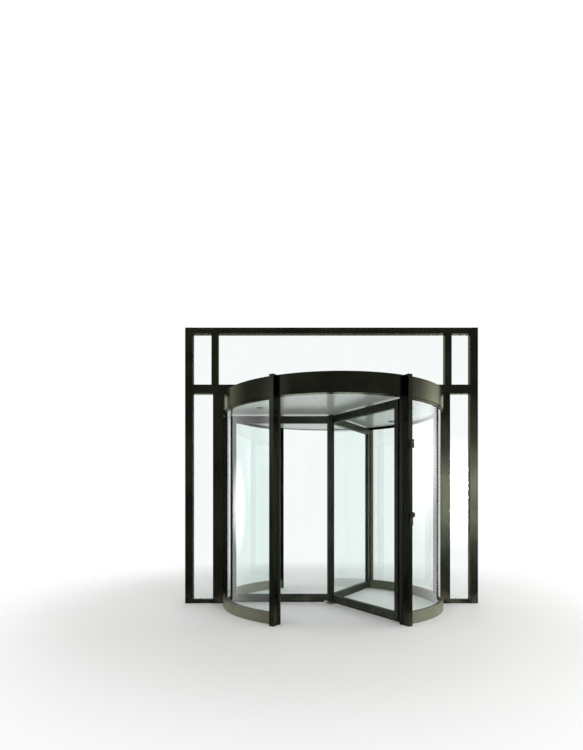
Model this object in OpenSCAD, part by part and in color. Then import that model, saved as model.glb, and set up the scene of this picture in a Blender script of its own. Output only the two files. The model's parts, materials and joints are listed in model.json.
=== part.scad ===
// Three-wing revolving door in a glazed entrance screen.
// Origin: the drum's centre on the floor. +X runs along the screen, +Y to the outer side, +Z up.
// All sizes are in millimetres.

/* [Drum] */
// Outer radius of the drum's base and fascia
drum_r = 1260; // [1100:10:1340]
// Radial thickness of the drum's walls
wall_t = 60; // [50:1:90]
// Clear height from the floor to the underside of the fascia
clear_h = 2200; // [2000:10:2400]
// Angle between the two posts of an opening
opening_deg = 60; // [50:1:60]
// Height of the solid base under the curved glass
base_h = 112; // [80:1:220]
// Height of the shadow line under the base's cap
shadow_line_h = 5; // [3:1:10]
// Depth of the shadow line
shadow_line_d = 4; // [2:1:8]
// Height of the cap above the shadow line
base_cap_h = 16; // [10:1:30]
// Height of the rail that holds the top of the curved glass
wall_head_h = 20; // [15:1:40]
// Width of that rail
wall_head_w = 40; // [30:1:50]
// Thickness of the curved glass
wall_glass_t = 12; // [8:1:16]

/* [Canopy] */
// Height of the fascia
fascia_h = 200; // [120:5:400]
// Thickness of the fascia and roof sheets
sheet_t = 3; // [2:0.5:6]
// Width of the fascia's folded top lip
top_lip_w = 40; // [25:1:80]
// Thickness of the ceiling panel
ceiling_t = 12; // [8:1:25]
// Width of the ledge on which the ceiling's edge lies
ceiling_seat = 15; // [8:1:30]
// Gap round the edge of the ceiling
ceiling_gap = 5; // [2:1:10]
// Width of the seam between the ceiling's two halves
seam_w = 2; // [1:0.5:5]
// Direction of that seam, seen from the centre
seam_angle = 77; // [65:1:115]
// Radius of the circle on which the downlights lie
lamp_ring_r = 930; // [700:10:1000]
// Radius of a downlight's trim
lamp_trim_r = 46; // [30:1:70]
// Width of the trim's flange under the ceiling
lamp_flange_w = 7; // [4:1:12]
// Width of the trim's rim inside the can
lamp_rim_w = 5; // [3:1:8]
// Radius of a downlight's lens
lamp_lens_r = 24; // [12:1:28]
// Depth of the lens above the ceiling's face
lamp_lens_z = 35; // [20:1:45]
// Thickness of the lens's centre below its rim
lamp_lens_t = 4; // [2:1:8]
// Height of a downlight's can
lamp_can_h = 70; // [55:1:110]
// Width of the beam that carries the top bearing
beam_w = 120; // [90:1:200]
// Height of that beam
beam_h = 90; // [60:1:110]
// Wall of that beam
beam_wall = 6; // [3:1:10]

/* [Posts] */
// Radial depth of a drum post
post_d = 125; // [80:1:150]
// Width of a drum post across the radius
post_w = 50; // [45:1:90]
// Radial width of the rubber strip on a post's opening side
strip_w = 26; // [15:1:40]
// How far the strip stands out of the post
strip_t = 14; // [8:1:20]
// Width of the strip's foot in the post
strip_foot_w = 10; // [6:1:14]
// Depth of the strip's foot in the post
strip_foot_d = 4; // [2:1:8]
// Distance of the strip from the drum's inner face
strip_inset = 8; // [6:1:20]

/* [Rotor] */
// Thickness of a wing's frame
wing_t = 50; // [35:1:70]
// Width of a wing's outer stile
stile_w = 52; // [40:1:90]
// Height of a wing's top rail
top_rail_h = 73; // [50:1:120]
// Height of a wing's bottom rail
bottom_rail_h = 75; // [50:1:200]
// Thickness of a wing's glass
wing_glass_t = 10; // [6:1:12]
// Length of the brush between a stile and the drum
side_brush = 23; // [15:1:35]
// Length of the brush above a top rail
top_brush = 16; // [10:1:30]
// Length of the brush below a bottom rail
bottom_brush = 23; // [10:1:35]
// Thickness of a brush
brush_t = 8; // [5:1:14]
// Depth of the slot that holds a brush
brush_slot = 6; // [4:1:12]
// Running clearance at the brush tips
run_clear = 5; // [5:1:12]
// Radius of the centre column
hub_r = 31; // [26:1:45]
// Width of the column's glazing arms
hub_arm_w = 30; // [26:1:50]
// Distance of an arm's face from the axis
hub_arm_r = 46; // [44:1:70]
// Radius of the journal above the centre column
journal_r = 25; // [15:1:26]
// Space round the journal where it passes the ceiling
journal_gap = 8; // [6:1:15]
// Radial clearance of the journal and the floor pin
bearing_clear = 0.05; // [0.02:0.01:0.1]
// Radius of the floor bearing's plate
floor_plate_r = 72; // [60:1:100]
// Thickness of that plate
floor_plate_t = 8; // [5:1:12]
// Distance between the plate and the lower brushes
floor_plate_gap = 10; // [6:1:30]
// Radius of the floor bearing's pin
floor_pin_r = 18; // [10:1:20]
// Height of the pin above the plate
floor_pin_h = 24; // [15:1:40]
// Gap between the plate and the column
hub_lift = 6; // [5:1:12]
// Radius of the circle of anchor holes in the plate
anchor_ring_r = 56; // [48:1:62]
// Radius of an anchor hole
anchor_hole_r = 4.5; // [3:0.5:6]

/* [Screen] */
// Width of a side light between its bars
side_light_w = 232; // [120:5:900]
// Height of the screen
screen_h = 3220; // [2900:10:3800]
// Depth of the screen's bars
frame_d = 80; // [60:1:140]
// Width of a jamb
jamb_w = 93; // [50:1:120]
// Height of the head rail
head_h = 72; // [50:1:120]
// Height of the sills beside the drum
sill_h = 45; // [30:1:100]
// Depth of the sills
sill_d = 60; // [40:1:80]
// Space between the canopy and the transom
transom_gap = 50; // [20:1:120]
// Height of the transom
transom_h = 105; // [60:1:150]
// Width of a mullion above the transom
mullion_w = 80; // [50:1:120]
// Distance from the outer face of the post below to a mullion's centre
mullion_shift = 22; // [0:1:60]
// Width of the post between the drum and a side light
side_post_w = 125; // [60:1:180]
// Width of that post's nose between the curved panes
nose_w = 36; // [28:1:60]
// Distance of the nose from the drum's inner face
nose_inset = 6; // [5:1:15]
// Thickness of the flat glass
pane_t = 10; // [6:1:24]
// Depth of the strip between the canopy and the transom
closing_d = 44; // [20:1:60]

/* [Glazing] */
// Depth of a glazing groove
groove_d = 14; // [8:1:18]
// Depth of the grooves in slim rails and the nose
slim_groove_d = 9; // [6:1:12]
// Gasket space on each side of a pane
gasket = 3; // [2:0.5:5]
// Space between a pane's edge and the bottom of its groove
edge_gap = 2; // [1:0.5:4]
// Chamfer along the bars' edges
edge_c = 2; // [1:0.5:4]
// Width of the beads that clip on beside a pane
bead_w = 24; // [18:1:30]
// Width and depth of the joint line along a bead
bead_line = 2; // [1:0.5:3]
// Clearance between pieces that fit into each other
fit_gap = 0.3; // [0.1:0.05:0.5]

/* [Fittings] */
// Height of the stop button above the floor
button_z = 1060; // [800:10:1300]
// Radius of the button's head
button_r = 26; // [18:1:30]
// Thickness of the button's head
button_t = 14; // [8:1:20]
// Rounding of the head's edge
button_edge = 6; // [2:1:7]
// Radius of the button's neck
button_neck_r = 13; // [8:1:16]
// Length of the button's neck
button_neck = 10; // [6:1:16]
// Width of the button's back box
button_box_w = 36; // [24:1:44]
// Height of the back box
button_box_h = 130; // [80:1:160]
// Depth of the back box
button_box_d = 16; // [10:1:30]
// Height of the sensor's centre above the floor
sensor_z = 1735; // [1500:10:1900]
// Height of the sensor's case
sensor_h = 80; // [60:1:120]
// Width of the sensor's case
sensor_w = 38; // [30:1:44]
// Depth of the sensor's case
sensor_d = 32; // [20:1:45]
// Chamfer of the sensor's case
sensor_c = 4; // [2:0.5:6]
// Radius of the sensor's eye
sensor_eye_r = 11; // [6:1:14]
// Depth of the eye
sensor_eye_d = 3; // [1:0.5:6]
// Height of the eye above the case's centre
sensor_eye_up = 14; // [0:1:20]

/* [Hidden] */
$fn = 180;

METAL = [0.20, 0.19, 0.16];
LIT_METAL = [0.42, 0.42, 0.36];
RUBBER = [0.10, 0.10, 0.10];
CLEAR = [0.78, 0.88, 0.86, 0.35];
PALE = [0.86, 0.87, 0.86];
BRISTLE = [0.16, 0.16, 0.16];

inner_r = drum_r - wall_t;
glass_r = drum_r - wall_t / 2;
top_z = clear_h + fascia_h;

// Posts, by angle; the wall lies on the side given by the second value
FRONT_LEFT = 270 - opening_deg / 2;
FRONT_RIGHT = opening_deg / 2 - 90;
REAR_LEFT = 90 + opening_deg / 2;
REAR_RIGHT = 90 - opening_deg / 2;
WALL_CW = -1;
WALL_CCW = 1;
ALL_POSTS = [[FRONT_LEFT, WALL_CW], [FRONT_RIGHT, WALL_CCW], [REAR_LEFT, WALL_CCW], [REAR_RIGHT, WALL_CW]];

// Wing B rests at the front right post, and the others follow at equal angles
WING_A = FRONT_RIGHT - 120;
WING_B = FRONT_RIGHT;
WING_C = FRONT_RIGHT - 240;

ceiling_z = clear_h + sheet_t;
ceiling_top = ceiling_z + ceiling_t;
lip_r = inner_r - ceiling_gap - ceiling_seat;
journal_hole_r = journal_r + journal_gap;

tip_r = inner_r - run_clear;
stile_out = tip_r - side_brush;
stile_in = stile_out - stile_w;
top_rail_z = clear_h - run_clear - top_brush - top_rail_h;
bottom_rail_z = run_clear + bottom_brush;
wing_top = top_rail_z + top_rail_h;
wing_low = bottom_rail_z + bottom_rail_h;
hub_low = floor_plate_t + hub_lift;
hub_top = clear_h - run_clear;

transom_z = top_z + transom_gap;
transom_top = transom_z + transom_h;
head_z = screen_h - head_h;
post_in = drum_r;
post_out = post_in + side_post_w;
jamb_in = post_out + side_light_w;
jamb_out = jamb_in + jamb_w;
mullion_x = post_out - mullion_shift;
nose_in = inner_r + nose_inset;
wall_head_z = clear_h - wall_head_h;
over = 1;

// Width of the groove that takes a pane of thickness t
function groove_w(t) = t + 2 * gasket;

// Rectangle with chamfered corners, centred
module chamfered(w, h, c) {
    polygon([
        [-w / 2 + c, -h / 2], [w / 2 - c, -h / 2], [w / 2, -h / 2 + c], [w / 2, h / 2 - c],
        [w / 2 - c, h / 2], [-w / 2 + c, h / 2], [-w / 2, h / 2 - c], [-w / 2, -h / 2 + c]
    ]);
}

// Bar section w by h; each cut is [quarter turns, width, depth, offset], from +X counter-clockwise
module bar_section(w, h, cuts = []) {
    difference() {
        chamfered(w, h, edge_c);
        for (cut = cuts) {
            reach = cut[0] % 2 == 0 ? w / 2 : h / 2;
            rotate(90 * cut[0])
                translate([reach - cut[2], cut[3] - cut[1] / 2])
                    square([cut[2] + over, cut[1]]);
        }
    }
}

// Sides of a bar, as quarter turns from +X
RIGHT = 0;
TOP = 1;
LEFT = 2;
BOTTOM = 3;

function glazing_cut(side, t) = [side, groove_w(t), groove_d, 0];

// The two joint lines of the beads beside a pane; reach is the bar's half size towards the pane
function bead_cuts(side, reach) = [
    [(side + 1) % 4, bead_line, bead_line, bead_w - reach],
    [(side + 3) % 4, bead_line, bead_line, reach - bead_w]
];

// All that a bar needs on a side that holds a pane of thickness t
function pane_cuts(side, t, reach) = concat([glazing_cut(side, t)], bead_cuts(side, reach));

// Screen bar along Z, between two x and two z values
module upright(x1, x2, z1, z2, cuts) {
    translate([(x1 + x2) / 2, 0, z1])
        linear_extrude(z2 - z1)
            bar_section(x2 - x1, frame_d, cuts);
}

// Screen bar along X, between two x and two z values
module crossbar(x1, x2, z1, z2, depth, cuts) {
    translate([x1, 0, (z1 + z2) / 2])
        rotate([90, 0, 90])
            linear_extrude(x2 - x1)
                bar_section(depth, z2 - z1, cuts);
}

// Ring section swept counter-clockwise from angle a1 to angle a2; the children are drawn as [radius, height]
module sweep(a1, a2) {
    rotate(a1)
        rotate_extrude(angle = (a2 - a1 + 360) % 360)
            children();
}

// The room that a drum post takes up
module post_room(angle) {
    rotate(angle)
        translate([inner_r, -post_w / 2, -over])
            cube([post_d, post_w, top_z + 2 * over]);
}

// Sweep between two posts, cut to their side faces
module between_posts(a1, a2) {
    difference() {
        sweep(a1, a2)
            children();
        post_room(a1);
        post_room(a2);
    }
}

module mirrored(side) {
    if (side < 0)
        mirror([1, 0, 0]) children();
    else
        children();
}

module base_section() {
    difference() {
        translate([glass_r, base_h / 2])
            chamfered(wall_t, base_h, edge_c);
        translate([glass_r - groove_w(wall_glass_t) / 2, base_h - groove_d])
            square([groove_w(wall_glass_t), groove_d + over]);
        for (x = [inner_r - over, drum_r - shadow_line_d])
            translate([x, base_h - base_cap_h - shadow_line_h])
                square([shadow_line_d + over, shadow_line_h]);
    }
}

module wall_base(a1, a2) {
    color(LIT_METAL)
        between_posts(a1, a2)
            base_section();
}

module head_section() {
    translate([glass_r, wall_head_z + wall_head_h / 2])
        bar_section(wall_head_w, wall_head_h, [[BOTTOM, groove_w(wall_glass_t), slim_groove_d, 0]]);
}

module wall_heads() {
    color(METAL) {
        between_posts(REAR_LEFT, FRONT_LEFT)
            head_section();
        between_posts(FRONT_RIGHT, REAR_RIGHT)
            head_section();
    }
}

// Angle at the centre of a length measured across the glass's radius
function glass_angle(length) = asin(length / glass_r);

// Curved pane from the nose of a side post (at middle) to a drum post (at post_angle)
module curved_pane(middle, post_angle) {
    turn = post_angle > middle ? 1 : -1;
    at_nose = middle + turn * glass_angle(nose_w / 2 - slim_groove_d + edge_gap);
    at_post = post_angle - turn * glass_angle(post_w / 2 - groove_d + edge_gap);
    low = base_h - groove_d;
    high = wall_head_z + slim_groove_d - edge_gap;
    color(CLEAR)
        sweep(min(at_nose, at_post), max(at_nose, at_post))
            translate([glass_r - wall_glass_t / 2, low])
                square([wall_glass_t, high - low]);
}

module drum_post(angle, wall_side) {
    side = wall_side > 0 ? TOP : BOTTOM;
    offset = wall_side * (inner_r + post_d / 2 - glass_r);
    strip_x = strip_inset + strip_w / 2 - post_d / 2;
    foot_cut = [(side + 2) % 4, strip_foot_w + 2 * fit_gap, strip_foot_d, wall_side * strip_x];
    color(METAL)
        rotate(angle)
            translate([inner_r + post_d / 2, 0, 0])
                difference() {
                    linear_extrude(top_z)
                        bar_section(post_d, post_w, concat(bead_cuts(RIGHT, post_d / 2), [foot_cut]));
                    translate([0, 0, base_h - groove_d])
                        linear_extrude(wall_head_z + slim_groove_d - base_h + groove_d)
                            rotate(90 * side)
                                translate([post_w / 2 - groove_d, offset - groove_w(wall_glass_t) / 2])
                                    square([groove_d + over, groove_w(wall_glass_t)]);
                }
}

// Rubber strip with a rounded nose towards -Y and a foot that sits in the post's slot
module strip_section() {
    intersection() {
        translate([0, -strip_t + strip_w / 2])
            circle(r = strip_w / 2);
        translate([-strip_w / 2, -strip_t])
            square([strip_w, strip_t]);
    }
    translate([-strip_foot_w / 2, -over])
        square([strip_foot_w, strip_foot_d + over]);
}

module post_strips() {
    color(RUBBER)
        for (post = ALL_POSTS)
            rotate(post[0])
                translate([inner_r + strip_inset + strip_w / 2, 0, 0])
                    mirror([0, post[1] > 0 ? 0 : 1, 0])
                        translate([0, -post_w / 2, 0])
                            linear_extrude(clear_h)
                                strip_section();
}

module fascia_section() {
    translate([drum_r - sheet_t, clear_h])
        square([sheet_t, fascia_h]);
    translate([lip_r, clear_h])
        square([drum_r - lip_r, sheet_t]);
    translate([drum_r - top_lip_w, top_z - 2 * sheet_t])
        square([top_lip_w, sheet_t]);
}

module fascia(a1, a2) {
    color(METAL)
        between_posts(a1, a2)
            fascia_section();
}

LAMP_ANGLES = [30, 150, 210, 330];

// Round ceiling panel in two halves, with a seam between them
module ceiling() {
    cut_h = ceiling_t + 2 * over;
    color(PALE)
        translate([0, 0, ceiling_z])
            difference() {
                cylinder(h = ceiling_t, r = inner_r - ceiling_gap);
                translate([0, 0, -over])
                    cylinder(h = cut_h, r = journal_hole_r);
                for (angle = LAMP_ANGLES)
                    rotate(angle)
                        translate([lamp_ring_r, 0, -over])
                            cylinder(h = cut_h, r = lamp_trim_r - lamp_flange_w);
                rotate(seam_angle)
                    translate([-inner_r, -seam_w / 2, -over])
                        cube([2 * inner_r, seam_w, cut_h]);
            }
}

// Downlight turned about its own axis: flange, can and a conical reflector
module downlight() {
    can_r = lamp_trim_r - lamp_flange_w - fit_gap;
    rotate_extrude()
        polygon([
            [can_r - lamp_rim_w, clear_h], [lamp_trim_r, clear_h],
            [lamp_trim_r, ceiling_z], [can_r, ceiling_z],
            [can_r, ceiling_z + lamp_can_h], [0, ceiling_z + lamp_can_h],
            [0, ceiling_z + lamp_lens_z - lamp_lens_t], [lamp_lens_r, ceiling_z + lamp_lens_z]
        ]);
}

module downlights() {
    color(RUBBER)
        for (angle = LAMP_ANGLES)
            rotate(angle)
                translate([lamp_ring_r, 0, 0])
                    downlight();
}

module canopy_roof() {
    color(METAL)
        difference() {
            translate([0, 0, top_z - sheet_t])
                cylinder(h = sheet_t, r = drum_r - sheet_t - fit_gap);
            for (post = ALL_POSTS)
                post_room(post[0]);
        }
}

// Hollow beam across the canopy, with the round housing of the top bearing
module bearing_beam() {
    half = lip_r;
    housing_r = beam_w / 2;
    color(METAL)
        translate([0, 0, ceiling_top])
            difference() {
                union() {
                    difference() {
                        translate([-half, -beam_w / 2, 0])
                            cube([2 * half, beam_w, beam_h]);
                        translate([-half - over, -beam_w / 2 + beam_wall, beam_wall])
                            cube([2 * (half + over), beam_w - 2 * beam_wall, beam_h - 2 * beam_wall]);
                    }
                    cylinder(h = beam_h, r = housing_r);
                }
                translate([0, 0, -over])
                    cylinder(h = beam_h + 2 * over, r = journal_r + bearing_clear);
            }
}

module floor_bearing() {
    color(LIT_METAL)
        difference() {
            union() {
                cylinder(h = floor_plate_t, r = floor_plate_r);
                cylinder(h = floor_plate_t + floor_pin_h, r = floor_pin_r);
            }
            for (angle = [45:90:315])
                rotate(angle)
                    translate([anchor_ring_r, 0, -over])
                        cylinder(h = floor_plate_t + 2 * over, r = anchor_hole_r);
        }
}

module jamb(side) {
    color(METAL)
        mirrored(side)
            upright(jamb_in, jamb_out, 0, screen_h, pane_cuts(LEFT, pane_t, jamb_w / 2));
}

module head_rail() {
    color(METAL)
        crossbar(-jamb_in, jamb_in, head_z, screen_h, frame_d, pane_cuts(BOTTOM, pane_t, head_h / 2));
}

module transom() {
    color(METAL)
        crossbar(-jamb_in, jamb_in, transom_z, transom_top, frame_d,
            concat(pane_cuts(TOP, pane_t, transom_h / 2), pane_cuts(BOTTOM, pane_t, transom_h / 2)));
}

module closing_strip() {
    color(METAL)
        crossbar(-post_in, post_in, top_z, transom_z, closing_d, []);
}

module mullions() {
    color(METAL)
        for (side = [-1, 1])
            mirrored(side)
                upright(mullion_x - mullion_w / 2, mullion_x + mullion_w / 2, transom_top, head_z,
                    concat(pane_cuts(LEFT, pane_t, mullion_w / 2), pane_cuts(RIGHT, pane_t, mullion_w / 2)));
}

// Screen post beside the drum; its nose reaches in between the two curved panes
module side_post(side) {
    nose_h = wall_head_z - base_h;
    nose_mid = (nose_in + post_in + over) / 2;
    color(METAL)
        mirrored(side) {
            upright(post_in, post_out, 0, transom_z, pane_cuts(RIGHT, pane_t, side_post_w / 2));
            translate([nose_mid, 0, base_h])
                linear_extrude(nose_h)
                    bar_section(post_in + over - nose_in, nose_w, [
                        [TOP, groove_w(wall_glass_t), slim_groove_d, nose_mid - glass_r],
                        [BOTTOM, groove_w(wall_glass_t), slim_groove_d, glass_r - nose_mid]
                    ]);
        }
}

module sills() {
    color(METAL)
        for (side = [-1, 1])
            mirrored(side)
                crossbar(post_out, jamb_in, 0, sill_h, sill_d, pane_cuts(TOP, pane_t, sill_h / 2));
}

// Flat pane held in grooves on all four sides; its lower edge stands on the groove's bottom
module flat_pane(x1, x2, z1, z2) {
    bite = groove_d - edge_gap;
    translate([x1 - bite, -pane_t / 2, z1 - groove_d])
        cube([x2 - x1 + 2 * bite, pane_t, z2 - z1 + groove_d + bite]);
}

module side_lights() {
    color(CLEAR)
        for (side = [-1, 1])
            mirrored(side)
                flat_pane(post_out, jamb_in, sill_h, transom_z);
}

module top_lights() {
    color(CLEAR) {
        flat_pane(-mullion_x + mullion_w / 2, mullion_x - mullion_w / 2, transom_top, head_z);
        for (side = [-1, 1])
            mirrored(side)
                flat_pane(mullion_x + mullion_w / 2, jamb_in, transom_top, head_z);
    }
}

// Places its children on the front right post's outer face, with local +X out of the face
module on_front_post(z) {
    rotate(FRONT_RIGHT)
        translate([inner_r + post_d, 0, z])
            children();
}

module stop_button() {
    head_end = button_neck + button_t;
    color(RUBBER)
        on_front_post(button_z) {
            translate([button_box_d / 2, 0, -button_box_h + button_r])
                linear_extrude(button_box_h)
                    chamfered(button_box_d, button_box_w, edge_c);
            translate([button_box_d, 0, 0])
                rotate([0, 90, 0])
                    rotate_extrude()
                        polygon([
                            [0, 0], [button_neck_r, 0], [button_neck_r, button_neck],
                            [button_r, button_neck], [button_r, head_end - button_edge],
                            [button_r - button_edge, head_end], [0, head_end]
                        ]);
        }
}

module sensor_box() {
    color(RUBBER)
        on_front_post(sensor_z)
            difference() {
                translate([sensor_d / 2, 0, -sensor_h / 2])
                    linear_extrude(sensor_h)
                        chamfered(sensor_d, sensor_w, sensor_c);
                translate([sensor_d - sensor_eye_d, 0, sensor_eye_up])
                    rotate([0, 90, 0])
                        cylinder(h = sensor_eye_d + over, r = sensor_eye_r);
            }
}

// Section of the centre column: a round core with three arms that hold the wings' glass
module column_section() {
    difference() {
        union() {
            circle(r = hub_r);
            for (angle = [WING_A, WING_B, WING_C])
                rotate(angle)
                    translate([0, -hub_arm_w / 2])
                        square([hub_arm_r, hub_arm_w]);
        }
        for (angle = [WING_A, WING_B, WING_C])
            rotate(angle)
                translate([hub_arm_r - groove_d, -groove_w(wing_glass_t) / 2])
                    square([groove_d + over, groove_w(wing_glass_t)]);
    }
}

module centre_column() {
    pin_top = floor_plate_t + floor_pin_h;
    color(METAL)
        difference() {
            union() {
                translate([0, 0, hub_low])
                    linear_extrude(hub_top - hub_low)
                        column_section();
                translate([0, 0, hub_top - over])
                    cylinder(h = ceiling_top + beam_h - hub_top, r = journal_r);
            }
            cylinder(h = pin_top + fit_gap, r = floor_pin_r + bearing_clear);
        }
}

// Wing rail along local +X, between the column's arm and the stile
module wing_rail(angle, z, h, glass_side, brush_side) {
    color(METAL)
        rotate(angle)
            translate([hub_arm_r, 0, z + h / 2])
                rotate([90, 0, 90])
                    linear_extrude(stile_in - hub_arm_r)
                        bar_section(wing_t, h, concat(pane_cuts(glass_side, wing_glass_t, h / 2), [
                            [brush_side, brush_t + 2 * fit_gap, brush_slot, 0]
                        ]));
}

module wing_top_rail(angle) {
    wing_rail(angle, top_rail_z, top_rail_h, BOTTOM, TOP);
}

module wing_bottom_rail(angle) {
    wing_rail(angle, bottom_rail_z, bottom_rail_h, TOP, BOTTOM);
}

module wing_stile(angle) {
    color(METAL)
        rotate(angle)
            translate([(stile_in + stile_out) / 2, 0, bottom_rail_z])
                linear_extrude(wing_top - bottom_rail_z)
                    bar_section(stile_w, wing_t, concat(pane_cuts(LEFT, wing_glass_t, stile_w / 2), [
                        [RIGHT, brush_t + 2 * fit_gap, brush_slot, 0]
                    ]));
}

module wing_glass(angle) {
    bite = groove_d - edge_gap;
    x1 = hub_arm_r - bite;
    z1 = wing_low - groove_d;
    color(CLEAR)
        rotate(angle)
            translate([x1, -wing_glass_t / 2, z1])
                cube([stile_in + bite - x1, wing_glass_t, top_rail_z + bite - z1]);
}

// Brush round a wing's three free edges, seated in the slots of its frame
module wing_brush(angle) {
    inner_x = hub_arm_r;
    low_x = floor_plate_r + floor_plate_gap;
    rotate(angle)
        translate([0, -brush_t / 2, 0]) {
            translate([inner_x, 0, wing_top - brush_slot])
                cube([stile_in - inner_x, brush_t, brush_slot + top_brush]);
            translate([stile_in, 0, wing_top])
                cube([tip_r - stile_in, brush_t, top_brush]);
            translate([stile_out - brush_slot, 0, bottom_rail_z])
                cube([brush_slot + side_brush, brush_t, wing_top - bottom_rail_z]);
            translate([stile_in, 0, run_clear])
                cube([tip_r - stile_in, brush_t, bottom_brush]);
            translate([low_x, 0, run_clear])
                cube([stile_in - low_x, brush_t, bottom_brush + brush_slot]);
        }
}

module brush_seals() {
    color(BRISTLE)
        for (angle = [WING_A, WING_B, WING_C])
            wing_brush(angle);
}

wall_base(REAR_LEFT, FRONT_LEFT);  // wall_base_left
wall_base(FRONT_RIGHT, REAR_RIGHT);  // wall_base_right
wall_heads();
curved_pane(180, FRONT_LEFT);  // wall_glass_left_inner
curved_pane(180, REAR_LEFT);  // wall_glass_left_outer
curved_pane(0, FRONT_RIGHT);  // wall_glass_right_inner
curved_pane(0, REAR_RIGHT);  // wall_glass_right_outer
drum_post(FRONT_LEFT, WALL_CW);  // post_front_left
drum_post(FRONT_RIGHT, WALL_CCW);  // post_front_right
drum_post(REAR_LEFT, WALL_CCW);  // post_rear_left
drum_post(REAR_RIGHT, WALL_CW);  // post_rear_right
post_strips();
fascia(REAR_LEFT, FRONT_LEFT);  // fascia_left
fascia(FRONT_RIGHT, REAR_RIGHT);  // fascia_right
fascia(FRONT_LEFT, FRONT_RIGHT);  // fascia_front
fascia(REAR_RIGHT, REAR_LEFT);  // fascia_rear
ceiling();
canopy_roof();
downlights();
bearing_beam();
floor_bearing();
jamb(-1);  // jamb_left
jamb(1);  // jamb_right
head_rail();
transom();
closing_strip();
mullions();
side_post(-1);  // side_post_left
side_post(1);  // side_post_right
sills();
side_lights();
top_lights();
stop_button();
sensor_box();
centre_column();
wing_top_rail(WING_A);  // wing_a_top_rail
wing_bottom_rail(WING_A);  // wing_a_bottom_rail
wing_stile(WING_A);  // wing_a_stile
wing_glass(WING_A);  // wing_a_glass
wing_top_rail(WING_B);  // wing_b_top_rail
wing_bottom_rail(WING_B);  // wing_b_bottom_rail
wing_stile(WING_B);  // wing_b_stile
wing_glass(WING_B);  // wing_b_glass
wing_top_rail(WING_C);  // wing_c_top_rail
wing_bottom_rail(WING_C);  // wing_c_bottom_rail
wing_stile(WING_C);  // wing_c_stile
wing_glass(WING_C);  // wing_c_glass
brush_seals();
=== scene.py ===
# %% [markdown]
# # A revolving door in a glazed entrance screen
# The door's metal bars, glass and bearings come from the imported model, in metres. They are the fixed
# frame of this scene, so nothing here moves or resizes them. What the scene adds is what a metal
# worker, a glazier and a fitter add last: the finish of each surface, the rubber beside each pane,
# the bristles of the brushes, the lenses and the screws.

# %% Load the door
import json
import math

import bmesh
import bpy
import numpy as np
from mathutils import Matrix, Vector

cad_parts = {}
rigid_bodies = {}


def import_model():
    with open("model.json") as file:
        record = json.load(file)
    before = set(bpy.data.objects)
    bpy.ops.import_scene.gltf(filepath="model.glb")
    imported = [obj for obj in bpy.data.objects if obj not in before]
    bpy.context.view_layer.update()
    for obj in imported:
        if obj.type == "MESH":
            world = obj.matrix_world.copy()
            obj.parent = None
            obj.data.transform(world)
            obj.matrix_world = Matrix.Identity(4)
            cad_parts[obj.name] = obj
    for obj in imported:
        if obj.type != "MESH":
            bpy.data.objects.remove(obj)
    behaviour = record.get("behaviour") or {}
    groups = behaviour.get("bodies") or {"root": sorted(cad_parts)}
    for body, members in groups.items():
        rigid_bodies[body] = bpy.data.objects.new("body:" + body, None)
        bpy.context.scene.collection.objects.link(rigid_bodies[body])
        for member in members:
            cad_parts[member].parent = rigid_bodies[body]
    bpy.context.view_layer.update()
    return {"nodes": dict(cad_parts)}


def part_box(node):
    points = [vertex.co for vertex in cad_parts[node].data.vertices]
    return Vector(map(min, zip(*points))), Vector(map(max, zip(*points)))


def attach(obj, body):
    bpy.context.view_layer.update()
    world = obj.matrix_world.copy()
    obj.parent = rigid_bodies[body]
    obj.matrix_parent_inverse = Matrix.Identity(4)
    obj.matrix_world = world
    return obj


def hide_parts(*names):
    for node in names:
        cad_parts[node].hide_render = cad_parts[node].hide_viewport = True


for leftover in list(bpy.data.objects):
    bpy.data.objects.remove(leftover)
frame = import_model()
nodes = frame["nodes"]

# %% [markdown]
# ## Where the picture was taken from
# The photograph looks straight ahead, from a little left of the middle and at the height of a low
# tripod, and its upright lines stay parallel. A tilted camera would make them lean, so the camera
# stays level and the lens shift moves the picture instead. The camera's place comes from the
# ellipses of the drum and the feet of the posts, and AXIS_PIXEL is where its axis meets the picture.

# %% Camera
PHOTO_SIZE = (583, 750)
AXIS_PIXEL = (290.7, 502.8)
FOCAL_PIXELS = 509.3
EYE = Vector((-0.477, -5.984, 1.174))

long_side = max(PHOTO_SIZE)
lens = bpy.data.cameras.new("camera")
lens.sensor_width = 36
lens.lens = FOCAL_PIXELS / long_side * lens.sensor_width
lens.shift_x = (PHOTO_SIZE[0] / 2 - AXIS_PIXEL[0]) / long_side
lens.shift_y = (AXIS_PIXEL[1] - PHOTO_SIZE[1] / 2) / long_side
camera = bpy.data.objects.new("camera", lens)
camera.location = EYE
camera.rotation_euler = (math.radians(90), 0, 0)
bpy.context.scene.collection.objects.link(camera)
bpy.context.scene.camera = camera
print("lens", round(lens.lens, 2), "shift", round(lens.shift_x, 4), round(lens.shift_y, 4))

# %% [markdown]
# ## Reading the door's sizes
# A fitter measures the opening before cutting a gasket. In the same way the sizes below are taken
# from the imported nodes, so that what is added still fits when the door is built wider or higher.
# Only the small sizes that no box shows, such as the width of a glazing gasket, are given here.

# %% Sizes
GLASS_WALL_T = 0.012
WING_GLASS_T = 0.010
SCREEN_GLASS_T = 0.010
WALL_T = 0.060
POST_W = 0.050
NOSE_W = 0.036
HEAD_RAIL_H = 0.020
BRUSH_T = 0.008


def nearest(node, axis):
    """How near a node that lies on both sides of the middle comes to it along an axis."""
    return min(abs(vertex.co[axis]) for vertex in nodes[node].data.vertices)


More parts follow.
